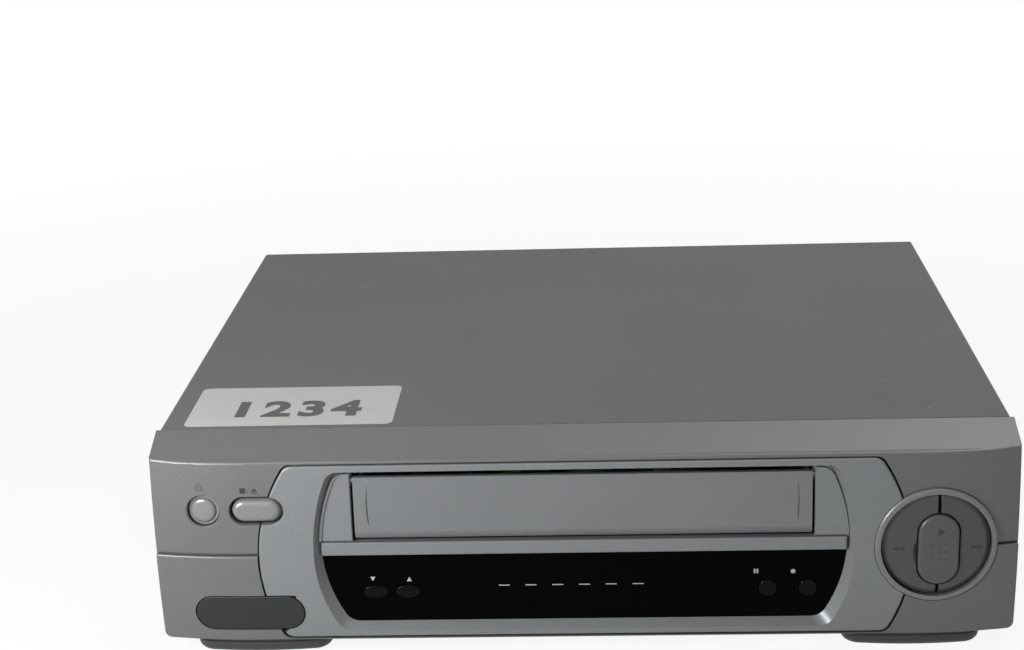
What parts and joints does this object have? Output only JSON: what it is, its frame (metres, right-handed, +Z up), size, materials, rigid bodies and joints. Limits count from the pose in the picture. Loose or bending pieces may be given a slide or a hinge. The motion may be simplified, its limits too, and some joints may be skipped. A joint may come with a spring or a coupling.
{
  "type": "video cassette recorder",
  "caption": "Silver front-loading video cassette recorder with a bowed front, cassette door, dark window and round dial of transport keys.",
  "frame": {"origin": "middle of the recorder on the surface that its feet stand on", "axes": "+X to the right along the front, +Y from the front to the back, +Z up"},
  "size_m": [0.36, 0.315, 0.096],
  "materials": {
    "silver_shell": "silver-grey metallic paint on moulded plastic, satin",
    "silver_panel": "silver-grey metallic paint on moulded plastic, satin",
    "silver_trim": "silver-grey metallic paint on moulded plastic, satin",
    "silver_door": "silver-grey metallic paint on moulded plastic, satin",
    "window_black": "deep black, polished",
    "silver_key": "silver-grey metallic paint, satin",
    "dial_silver": "silver-grey metallic paint, satin",
    "dial_dark": "dark grey metallic paint, satin",
    "play_silver": "silver-grey metallic paint, satin",
    "black_key": "black, polished",
    "flap_grey": "dark grey metallic paint, satin",
    "cover_paint": "grey paint with a fine grain on steel",
    "tray_steel": "zinc-plated steel, matt",
    "foot_grey": "dark grey, matt",
    "rubber_black": "black, matt",
    "screw_steel": "dark plated steel",
    "board_green": "circuit board, satin",
    "switch_black": "black, satin",
    "lamp_clear": "tinted lamp, clear",
    "core_iron": "laminated core and taped winding",
    "can_black": "sleeved can",
    "plated_steel": "zinc-plated steel",
    "drum_alloy": "turned",
    "rotor_steel": "turned",
    "bearing_brass": "turned",
    "white_plastic": "off-white acetal"
  },
  "bodies": {
    "casing": {"base_tray": "tray_steel", "capacitors": "can_black", "capstan_bearing": "bearing_brass", "capstan_belt": "rubber_black", "centre_panel": "silver_panel", "control_head": "rotor_steel", "deck_plate": "plated_steel", "deck_shafts": "plated_steel", "dial_ring": "dial_silver", "display_window": "window_black", "erase_head": "rotor_steel", "front_bezel": "silver_shell", "front_board": "board_green", "front_feet": "foot_grey", "front_jacks": "switch_black", "heat_sink": "drum_alloy", "indicator_lamps": "lamp_clear", "loading_motor": "rotor_steel", "lower_drum": "drum_alloy", "main_board": "board_green", "mains_inlet": "switch_black", "power_board": "board_green", "power_transformer": "core_iron", "rear_feet": "rubber_black", "rear_panel": "tray_steel", "rear_sockets": "switch_black", "recess_frame": "silver_trim", "screws": "screw_steel", "side_brackets": "plated_steel", "tact_switches": "switch_black", "top_cover": "cover_paint", "tuner_box": "plated_steel"},
    "door": {"cassette_door": "silver_door"},
    "flap": {"jack_flap": "flap_grey"},
    "power_key": {"power_button": "silver_key"},
    "stop_key": {"stop_eject_button": "silver_key"},
    "rewind_key": {"rewind_button": "dial_dark"},
    "forward_key": {"forward_button": "dial_dark"},
    "play_key": {"play_button": "play_silver"},
    "program_down_key": {"program_down_button": "black_key"},
    "program_up_key": {"program_up_button": "black_key"},
    "pause_key": {"pause_button": "black_key"},
    "record_key": {"record_button": "black_key"},
    "carriage": {"loading_carriage": "plated_steel"},
    "holder": {"cassette_holder": "plated_steel"},
    "drum": {"upper_drum": "drum_alloy", "drum_rotor": "rotor_steel"},
    "capstan": {"capstan_flywheel": "rotor_steel"},
    "clutch": {"clutch_pulley": "white_plastic"},
    "pinch_lever": {"pinch_arm": "plated_steel"},
    "pinch_wheel": {"pinch_roller": "rubber_black"},
    "supply_table": {"supply_reel": "white_plastic"},
    "takeup_table": {"takeup_reel": "white_plastic"},
    "idler_lever": {"idler_arm": "plated_steel"},
    "idler": {"idler_wheel": "rubber_black"},
    "supply_post": {"supply_guide": "white_plastic"},
    "takeup_post": {"takeup_guide": "white_plastic"},
    "tension_lever": {"tension_arm": "plated_steel"},
    "cam": {"cam_gear": "white_plastic"},
    "worm": {"loading_worm": "bearing_brass"}
  },
  "joints": [
    {"name": "door_hinge", "type": "hinge", "parent": "casing", "child": "door", "pos_m": [0, -0.1506, 0.0795], "axis": [1, 0, 0], "range_deg": [0, 78], "stiffness_Nm_per_rad": 0.02, "springref_deg": -11.46},
    {"name": "flap_hinge", "type": "hinge", "parent": "casing", "child": "flap", "pos_m": [-0.1414, -0.1549, 0.02825], "axis": [-1, 0, 0], "range_deg": [0, 100]},
    {"name": "power_press", "type": "slide", "parent": "casing", "child": "power_key", "axis": [0, 1, 0], "range_m": [0, 0.0012], "stiffness_N_per_m": 300},
    {"name": "stop_press", "type": "slide", "parent": "casing", "child": "stop_key", "axis": [0, 1, 0], "range_m": [0, 0.0012], "stiffness_N_per_m": 300},
    {"name": "rewind_press", "type": "slide", "parent": "casing", "child": "rewind_key", "axis": [0, 1, 0], "range_m": [0, 0.0012], "stiffness_N_per_m": 300},
    {"name": "forward_press", "type": "slide", "parent": "casing", "child": "forward_key", "axis": [0, 1, 0], "range_m": [0, 0.0012], "stiffness_N_per_m": 300},
    {"name": "play_press", "type": "slide", "parent": "casing", "child": "play_key", "axis": [0, 1, 0], "range_m": [0, 0.0012], "stiffness_N_per_m": 300},
    {"name": "program_down_press", "type": "slide", "parent": "casing", "child": "program_down_key", "axis": [0, 1, 0], "range_m": [0, 0.0012], "stiffness_N_per_m": 300},
    {"name": "program_up_press", "type": "slide", "parent": "casing", "child": "program_up_key", "axis": [0, 1, 0], "range_m": [0, 0.0012], "stiffness_N_per_m": 300},
    {"name": "pause_press", "type": "slide", "parent": "casing", "child": "pause_key", "axis": [0, 1, 0], "range_m": [0, 0.0012], "stiffness_N_per_m": 300},
    {"name": "record_press", "type": "slide", "parent": "casing", "child": "record_key", "axis": [0, 1, 0], "range_m": [0, 0.0012], "stiffness_N_per_m": 300},
    {"name": "carriage_slide", "type": "slide", "parent": "casing", "child": "carriage", "axis": [0, 1, 0], "range_m": [0, 0.045]},
    {"name": "holder_drop", "type": "slide", "parent": "carriage", "child": "holder", "axis": [0, 0, -1], "range_m": [0, 0.026]},
    {"name": "drum_spin", "type": "hinge", "parent": "casing", "child": "drum", "pos_m": [0, 0.0475, 0.0405], "axis": [0, -0.0872, 0.9962], "continuous": true},
    {"name": "capstan_spin", "type": "hinge", "parent": "casing", "child": "capstan", "pos_m": [0.07, 0.0215, 0.0275], "axis": [0, 0, 1], "continuous": true},
    {"name": "clutch_spin", "type": "hinge", "parent": "casing", "child": "clutch", "pos_m": [0, -0.0225, 0.0195], "axis": [0, 0, 1], "continuous": true},
    {"name": "pinch_swing", "type": "hinge", "parent": "casing", "child": "pinch_lever", "pos_m": [0.092, 0.0455, 0.0275], "axis": [0, 0, -1], "range_deg": [0, 19.5]},
    {"name": "pinch_spin", "type": "hinge", "parent": "pinch_lever", "child": "pinch_wheel", "pos_m": [0.08834, 0.01976, 0.0375], "axis": [0, 0, 1], "continuous": true},
    {"name": "supply_spin", "type": "hinge", "parent": "casing", "child": "supply_table", "pos_m": [-0.046, -0.0495, 0.0325], "axis": [0, 0, 1], "continuous": true},
    {"name": "takeup_spin", "type": "hinge", "parent": "casing", "child": "takeup_table", "pos_m": [0.046, -0.0495, 0.0325], "axis": [0, 0, 1], "continuous": true},
    {"name": "idler_swing", "type": "hinge", "parent": "casing", "child": "idler_lever", "pos_m": [0, -0.0225, 0.0235], "axis": [0, 0, 1], "range_deg": [-28, 28]},
    {"name": "idler_spin", "type": "hinge", "parent": "idler_lever", "child": "idler", "pos_m": [0, -0.0555, 0.0255], "axis": [0, 0, 1], "continuous": true},
    {"name": "supply_load", "type": "slide", "parent": "casing", "child": "supply_post", "axis": [-0.2516, 0.9678, 0], "range_m": [0, 0.05166]},
    {"name": "takeup_load", "type": "slide", "parent": "casing", "child": "takeup_post", "axis": [0.2516, 0.9678, 0], "range_m": [0, 0.05166]},
    {"name": "tension_swing", "type": "hinge", "parent": "casing", "child": "tension_lever", "pos_m": [-0.086, 0.0295, 0.0295], "axis": [0, 0, 1], "range_deg": [0, 15]},
    {"name": "worm_turn", "type": "hinge", "parent": "casing", "child": "worm", "pos_m": [-0.063, 0.0774, 0.0305], "axis": [1, 0, 0], "range_deg": [0, 10800]},
    {"name": "cam_turn", "type": "hinge", "parent": "casing", "child": "cam", "pos_m": [-0.063, 0.0595, 0.0305], "axis": [0, 0, 1], "range_deg": [0, 300]}
  ],
  "couplings": [
    {"joint": "clutch_spin", "follows": "capstan_spin", "ratio": 0.57143},
    {"joint": "takeup_load", "follows": "supply_load", "ratio": 1},
    {"joint": "cam_turn", "follows": "worm_turn", "ratio": 0.027778}
  ]
}
